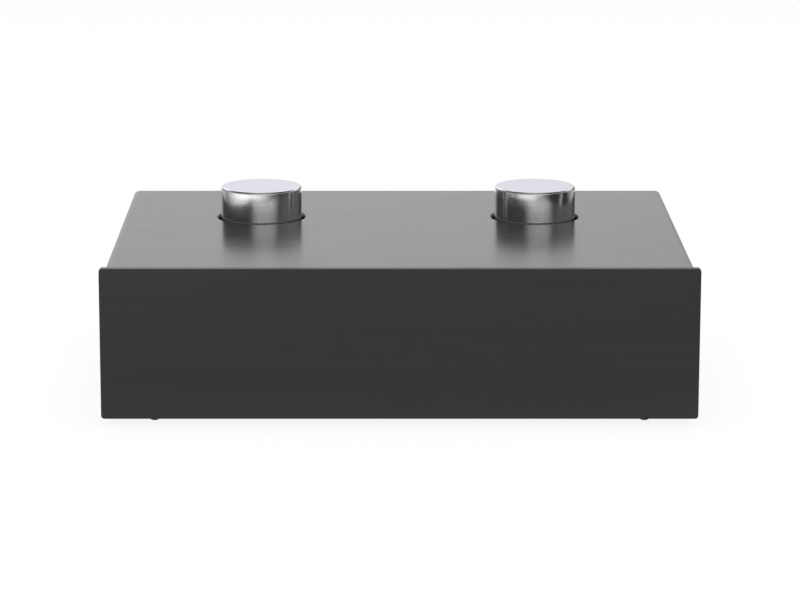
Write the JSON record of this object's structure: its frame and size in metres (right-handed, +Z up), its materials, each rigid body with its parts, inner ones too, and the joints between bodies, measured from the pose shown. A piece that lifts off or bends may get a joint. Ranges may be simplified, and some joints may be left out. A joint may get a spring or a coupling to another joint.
{
  "type": "moving coil step-up amplifier",
  "caption": "Half-width case with a thick dark brushed front panel, polished transformer cans standing through a folded cover, and phono sockets and earth posts with thumb nuts behind.",
  "frame": {"origin": "on the table, under the middle of the bounding box: the flats of the rubber feet lie on Z = 0", "axes": "+X to the viewer's right along the front panel, +Y from the front panel to the rear, +Z up"},
  "size_m": [0.206, 0.163, 0.0663],
  "materials": {
    "dark_anodised": "brushed along X, dark anodised",
    "black_paint": "satin black",
    "zinc_sheet": "zinc plated, satin",
    "zinc_screw": "bright zinc",
    "black_screw": "black oxide",
    "black_rubber": "matt",
    "board_laminate": "solder-resist green",
    "nickel_brass": "nickel plated",
    "tinned_brass": "tinned",
    "polished_can": "mirror polished",
    "shield_metal": "annealed, dull",
    "core_lamination": "stacked laminations",
    "bobbin_nylon": "natural nylon",
    "copper_wire": "enamelled copper wire",
    "base_phenolic": "brown phenolic",
    "socket_black": "moulded black",
    "gold_plate": "gold plated, polished",
    "insert_white": "moulded white",
    "insert_red": "moulded red",
    "resistor_lacquer": "lacquered",
    "capacitor_case": "cast box"
  },
  "bodies": {
    "case": {"board_screws": "zinc_screw", "board_standoffs": "nickel_brass", "chassis_tray": "zinc_sheet", "circuit_board": "board_laminate", "cover_screws": "black_screw", "damping_capacitors": "capacitor_case", "damping_resistors": "resistor_lacquer", "earth_lock_nuts": "nickel_brass", "earth_lugs": "tinned_brass", "front_panel": "dark_anodised", "front_panel_screws": "zinc_screw", "input_earth_post": "gold_plate", "input_left_socket_barrel": "gold_plate", "input_left_socket_body": "socket_black", "input_left_socket_contact": "gold_plate", "input_left_socket_insulator": "insert_white", "input_right_socket_barrel": "gold_plate", "input_right_socket_body": "socket_black", "input_right_socket_contact": "gold_plate", "input_right_socket_insulator": "insert_red", "left_bobbin": "bobbin_nylon", "left_can": "polished_can", "left_can_clamp": "zinc_sheet", "left_can_clamp_screws": "zinc_screw", "left_core": "core_lamination", "left_inner_shield": "shield_metal", "left_primary_winding": "copper_wire", "left_secondary_winding": "copper_wire", "left_transformer_base": "base_phenolic", "left_transformer_pins": "tinned_brass", "output_earth_post": "gold_plate", "output_left_socket_barrel": "gold_plate", "output_left_socket_body": "socket_black", "output_left_socket_contact": "gold_plate", "output_left_socket_insulator": "insert_white", "output_right_socket_barrel": "gold_plate", "output_right_socket_body": "socket_black", "output_right_socket_contact": "gold_plate", "output_right_socket_insulator": "insert_red", "rear_panel": "black_paint", "rear_panel_screws": "black_screw", "right_bobbin": "bobbin_nylon", "right_can": "polished_can", "right_can_clamp": "zinc_sheet", "right_can_clamp_screws": "zinc_screw", "right_core": "core_lamination", "right_inner_shield": "shield_metal", "right_primary_winding": "copper_wire", "right_secondary_winding": "copper_wire", "right_transformer_base": "base_phenolic", "right_transformer_pins": "tinned_brass", "rubber_feet": "black_rubber", "socket_screws": "black_screw", "top_cover": "black_paint"},
    "input_washer": {"input_earth_washer": "gold_plate"},
    "input_nut": {"input_earth_thumb_nut": "gold_plate"},
    "output_washer": {"output_earth_washer": "gold_plate"},
    "output_nut": {"output_earth_thumb_nut": "gold_plate"}
  },
  "joints": [
    {"name": "input_nut_travel", "type": "slide", "parent": "case", "child": "input_washer", "axis": [0, 1, 0], "range_m": [0, 0.0035]},
    {"name": "input_nut_turn", "type": "hinge", "parent": "input_washer", "child": "input_nut", "pos_m": [0.011, 0.0694, 0.026], "axis": [0, 1, 0], "range_deg": [0, 1800]},
    {"name": "output_nut_travel", "type": "slide", "parent": "case", "child": "output_washer", "axis": [0, 1, 0], "range_m": [0, 0.0035]},
    {"name": "output_nut_turn", "type": "hinge", "parent": "output_washer", "child": "output_nut", "pos_m": [-0.011, 0.0694, 0.026], "axis": [0, 1, 0], "range_deg": [0, 1800]}
  ],
  "couplings": [
    {"joint": "input_nut_turn", "follows": "input_nut_travel", "rad_per_m": 8976},
    {"joint": "output_nut_turn", "follows": "output_nut_travel", "rad_per_m": 8976}
  ]
}
